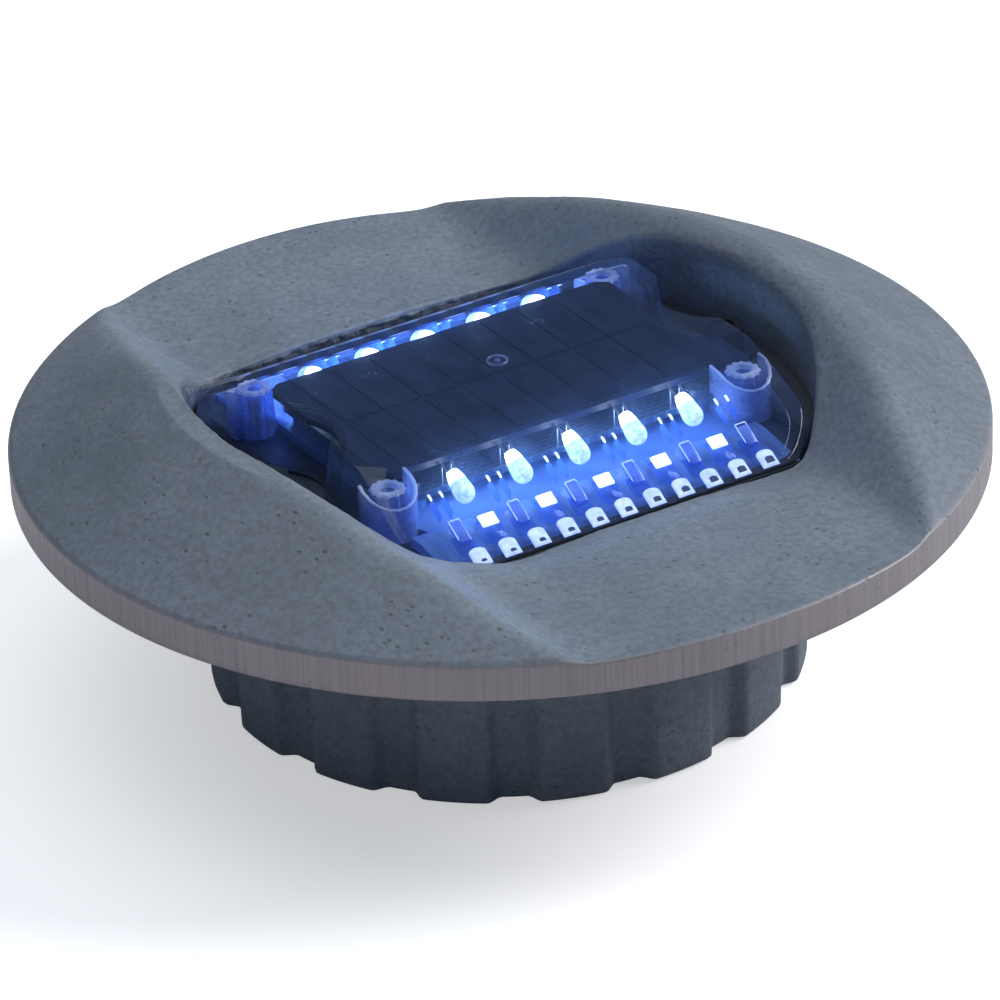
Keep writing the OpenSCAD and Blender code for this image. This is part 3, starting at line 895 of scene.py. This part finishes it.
def add_prism_block(bm, x, side):
    """A prism block between two lamps, with its cup, a hazier top that is lighter as painted light, and three
    glowing strips along its edges as painted highlights.
    """
    cup_y, block_y, brow_y = 47.3, 44.9, 42.6
    half_turn = Matrix.Rotation(math.pi, 4, "Z")
    add_arch(bm, below_roof(x, cup_y, 1.8, side) @ half_turn, 4.6, 5.4, 1.0, PRISM)
    add_block(bm, below_roof(x, block_y, 1.5, side), (3.1, 5.8, 1.6), 0.2, 0.94, PRISM, BLOCK_TOP)
    for shift, width in ((-1.5, 0.35), (1.35, 0.3)):
        add_block(bm, below_roof(x + shift, block_y, -0.05, side), (width, 5.4, 0.16), 0.05, 0.9, PAINTED_SOFT_LIGHT, PAINTED_SOFT_LIGHT)
    add_block(bm, below_roof(x, brow_y, -0.02, side), (3.0, 0.35, 0.16), 0.05, 0.9, PAINTED_SOFT_LIGHT, PAINTED_SOFT_LIGHT)


def add_fins(bm, x, side):
    """A pair of thin fins between two lamps, with tips that glow by emission as painted highlights."""
    fin_y, tip_y = 37.6, 35.6
    for shift in (-1.9, 1.1):
        add_block(bm, below_roof(x + shift, fin_y, 2.7, side), (0.55, 5.2, 2.2), 0.16, 0.8)
        add_block(bm, below_roof(x + shift, tip_y, 0.85, side), (0.5, 2.0, 0.5), 0.1, 0.7, PAINTED_GLOW, PAINTED_GLOW)


def add_arched_window(bm, x, number, side):
    """An arched window at the cover's foot, made lighter as painted light. Its dark patch is painted shade
    and grows along the row.
    """
    arch_y, foot_y = 53.4, 55.1
    shade_length = 0.9 + 0.12 * number
    add_arch(bm, in_roof(x, arch_y, 0.9, side), 4.4, 4.8, 0.4, PAINTED_SOFT_LIGHT)
    shade = in_roof(x + 0.35, foot_y - shade_length * 0.5, 0.5, side)
    add_arch(bm, shade, 1.6 + 0.1 * number, shade_length, 0.1, PAINTED_SHADE)


def build_prism_bar(name, node, side, materials):
    """Clear bar in front of one row of lamps: windows glowing as painted light, prism blocks with painted
    highlights, thin fins with glowing tips as painted highlights, and arched windows with painted light and
    painted shade.
    """
    bm = bmesh.new()
    half = (LAMPS - 1) / 2
    add_guide(bm, side)
    for i in range(LAMPS):
        add_window(bm, (i - half) * LAMP_PITCH, side)
    for i in range(LAMPS + 1):
        x = (i - half - 0.5) * LAMP_PITCH
        add_prism_block(bm, x, side)
        add_fins(bm, x, side)
    for i in range(2 * LAMPS + 1):
        add_arched_window(bm, (i - LAMPS) * LAMP_PITCH / 2, i, side)
    bmesh.ops.recalc_face_normals(bm, faces=bm.faces)
    obj = object_from_bmesh(name, bm, materials, "insert")
    obj.data.set_sharp_from_angle(angle=math.radians(32))
    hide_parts(node)


# Studio

def add_camera():
    """Long lens from the front left, looking down a little below the flange, and rolled slightly."""
    azimuth, elevation, roll = math.radians(-31.2), math.radians(28.984), math.radians(-2.342)
    distance, drop, shift = 1.38, 0.0118, 0.0002
    back = Vector((math.sin(azimuth) * math.cos(elevation), -math.cos(azimuth) * math.cos(elevation),
                   math.sin(elevation)))
    level = Vector((math.cos(azimuth), math.sin(azimuth), 0))
    upright = back.cross(level)
    right = level * math.cos(roll) + upright * math.sin(roll)
    up = upright * math.cos(roll) - level * math.sin(roll)
    aim = Vector((0, 0, FLANGE_Z * MM)) - up * drop - right * shift
    data = bpy.data.cameras.new("camera")
    data.sensor_width = 36
    data.lens = 211.74
    data.clip_start, data.clip_end = 0.1, 50
    camera = bpy.data.objects.new("camera", data)
    bpy.context.scene.collection.objects.link(camera)
    turn = Matrix((right, up, back)).transposed().to_4x4()
    camera.matrix_world = Matrix.Translation(aim + back * distance) @ turn
    bpy.context.scene.camera = camera


def add_sun(name, towards, strength, spread, colour):
    data = bpy.data.lights.new(name, "SUN")
    data.energy = strength
    data.angle = math.radians(spread)
    data.color = colour
    sun = bpy.data.objects.new(name, data)
    bpy.context.scene.collection.objects.link(sun)
    sun.rotation_mode = "QUATERNION"
    sun.rotation_quaternion = Vector(towards).to_track_quat("Z", "Y")


def add_studio():
    """Pale floor, a broad key from the right, weaker lights from above and from low on the left, a dim room.
    The camera sees floor and room brighter than the part does, so that the background stays near white."""
    add_sun("key", (0.89, -0.22, 0.66), 3.0, 32, (1.0, 0.985, 1.0))
    add_sun("overhead", (-0.1, 0.35, 1), 1.15, 60, (0.93, 0.96, 1.0))
    add_sun("low_fill", (-0.95, -0.3, 0.04), 0.32, 40, (1.0, 0.98, 0.96))
    world = bpy.data.worlds.new("room")
    bpy.context.scene.world = world
    world.use_nodes = True
    tree = world.node_tree
    tree.nodes.clear()
    room = put(tree, "Background", {"Color": (0.55, 0.72, 1.0, 1), "Strength": 0.16})
    backdrop = put(tree, "Background", {"Color": (1.0, 1.0, 1.0, 1), "Strength": 1.1})
    seen = put(tree, "LightPath").outputs["Is Camera Ray"]
    shader = put(tree, "MixShader", {0: seen, 1: room.outputs[0], 2: backdrop.outputs[0]})
    put(tree, "OutputWorld", {"Surface": shader.outputs[0]})

    material, tree = new_tree("floor")
    shade = mix_colour(tree, grain(tree, 3, 2), (0.86, 0.86, 0.865), (0.88, 0.88, 0.88))
    seen = put(tree, "BsdfPrincipled", {
        "Base Color": shade, "Roughness": 0.9, "Specular IOR Level": 0.1,
        "Emission Color": (1, 1, 1, 1), "Emission Strength": 0.5})
    bounced = put(tree, "BsdfDiffuse", {"Color": (0.62, 0.6, 0.62, 1)})
    camera_ray = put(tree, "LightPath").outputs["Is Camera Ray"]
    shader = put(tree, "MixShader", {0: camera_ray, 1: bounced.outputs[0], 2: seen.outputs[0]})
    output(tree, shader.outputs[0])
    size = 30
    floor = bpy.data.meshes.new("floor")
    corners = [(-size, -size, 0), (size, -size, 0), (size, size, 0), (-size, size, 0)]
    floor.from_pydata(corners, [], [(0, 1, 2, 3)])
    floor.materials.append(material)
    obj = bpy.data.objects.new("floor", floor)
    bpy.context.scene.collection.objects.link(obj)
    obj.location.z = -0.2 * MM
    bpy.context.scene.view_settings.view_transform = "Standard"


# Assembly

cover_plastic = clear_plastic("clear_polycarbonate", (0.86, 0.91, 1.0), 0.042, (0.24, 0.38, 0.75))
rib_plastic = clear_plastic("rib_polycarbonate", (0.66, 0.78, 1.0), 0.4, (0.42, 0.5, 0.8), 0.1)
# Bright milky plastic on the tops of posts and hooks: painted highlights.
painted_glint_plastic = clear_plastic("painted_glint_polycarbonate", (0.7, 0.82, 1.0), 0.8, (0.75, 0.84, 1.0), 0.1)
prism_plastic = clear_plastic("prism_acrylic", (0.6, 0.76, 1.0), 0.22, (0.3, 0.5, 1.0), 0.08)
# A hazier, lighter copy of the prism acrylic for the blocks' tops: painted light on them.
painted_light_block_plastic = clear_plastic("painted_light_block_acrylic", (0.6, 0.76, 1.0), 0.5, (0.42, 0.56, 1.0), 0.08)
guide_plastic = clear_plastic("guide_acrylic", (0.3, 0.48, 0.95), 0.75, (0.26, 0.42, 0.75), 0.15)
# The windows, the blocks' edge strips, the fins' tips and the arched windows glow by emission: painted light,
# not lamps.
painted_glow_white = painted_glow_window("painted_glow_white", (0.8, 0.9, 1.0), (1.0, 1.0, 1.0), 2.2)
painted_glow_blue = painted_glow_window("painted_glow_blue", (0.36, 0.46, 0.82), (0.5, 0.6, 0.92), 0.95)
# Dark patches in the arched windows: painted shade.
painted_shade_patch = moulded("painted_shade_patch", (0.03, 0.05, 0.12), (0.05, 0.08, 0.17), 0.3)
dark_case = moulded("dark_case", (0.018, 0.024, 0.04), (0.028, 0.035, 0.055), 0.45)
pale_case = moulded("pale_case", (0.06, 0.12, 0.3), (0.1, 0.18, 0.4), 0.4)
steel = moulded("stainless_steel", (0.2, 0.205, 0.215), (0.27, 0.275, 0.285), 0.34, 1500, 0.01, metallic=1.0,
                stretch=(1, 1, 0.2))
# Stainless fixing screws and washers darkened to paint the shade of the notches they sit in.
painted_shade_steel = moulded("steel_darkened_as_painted_shade", (0.05, 0.055, 0.065), (0.08, 0.085, 0.1), 0.32, 1500, 0.01,
                     metallic=1.0, stretch=(1, 1, 0.2))
lamp_epoxy = lit_epoxy()

NODE_MATERIALS = {
    "base_tray": dark_case,
    "board_carrier": pale_case,
    "panel_spacer": dark_case,
    "battery_cradle": dark_case,
    "ledge_gasket": moulded("black_rubber", (0.012, 0.012, 0.013), (0.022, 0.022, 0.024), 0.7, 500, 0.05),
    "cover_screws": steel, "board_screws": steel,
    # The fixing screws and washers take the darkened steel: painted shade.
    "left_washer": painted_shade_steel, "right_washer": painted_shade_steel,
    "left_spring_washer": painted_shade_steel, "right_spring_washer": painted_shade_steel,
    "left_fixing_screw": painted_shade_steel, "right_fixing_screw": painted_shade_steel,
    "circuit_board": board_laminate(),
    "controller_chip": moulded("chip_body", (0.012, 0.012, 0.014), (0.025, 0.025, 0.027), 0.5, 2200, 0.02),
    "board_capacitors": moulded("capacitor_ceramic", (0.4, 0.29, 0.18), (0.52, 0.4, 0.26), 0.5, 1800),
    "battery_connector": moulded("connector_plastic", (0.6, 0.58, 0.5), (0.74, 0.72, 0.64), 0.35, 700),
    "panel_pins": moulded("gold_pins", (0.6, 0.42, 0.14), (0.78, 0.58, 0.24), 0.25, 2500, 0.01, metallic=1.0),
    "solar_laminate": moulded("solar_backing", (0.006, 0.01, 0.026), (0.009, 0.014, 0.036), 0.32, 800, 0.02,
                              specular=0.2),
    "solar_cells": solar_cell(),
    "led_leads": moulded("tinned_leads", (0.16, 0.17, 0.19), (0.24, 0.25, 0.27), 0.4, 2500, 0.01,
                         metallic=1.0),
    "battery_cells": moulded("battery_wrap", (0.03, 0.12, 0.27), (0.05, 0.18, 0.36), 0.3, 300, 0.06,
                             coat=0.4),
    "foam_pad": moulded("foam", (0.022, 0.022, 0.025), (0.05, 0.05, 0.055), 0.85, 1400, 0.25),
    "battery_wires": moulded("wire_sleeve", (0.33, 0.02, 0.02), (0.48, 0.04, 0.035), 0.4, 1500),
}
NODE_MATERIALS["cover_gasket"] = NODE_MATERIALS["ledge_gasket"]
NODE_MATERIALS["power_inductor"] = NODE_MATERIALS["controller_chip"]
for node_name, node_material in NODE_MATERIALS.items():
    mesh = frame["nodes"][node_name].data
    mesh.materials.clear()
    mesh.materials.append(node_material)

build_casting(cast_iron())
build_cover([cover_plastic, rib_plastic, painted_glint_plastic])
for row in ("front", "rear"):
    for number in range(1, LAMPS + 1):
        build_lamp(f"{row}_led_{number}", lamp_epoxy)
build_prism_bar("front_light_guide", "front_prism_bar", -1,
                [prism_plastic, painted_glow_white, painted_glow_blue, guide_plastic, painted_shade_patch, painted_light_block_plastic])
build_prism_bar("rear_light_guide", "rear_prism_bar", 1,
                [prism_plastic, painted_glow_blue, guide_plastic, guide_plastic, guide_plastic, prism_plastic])

add_studio()
add_camera()
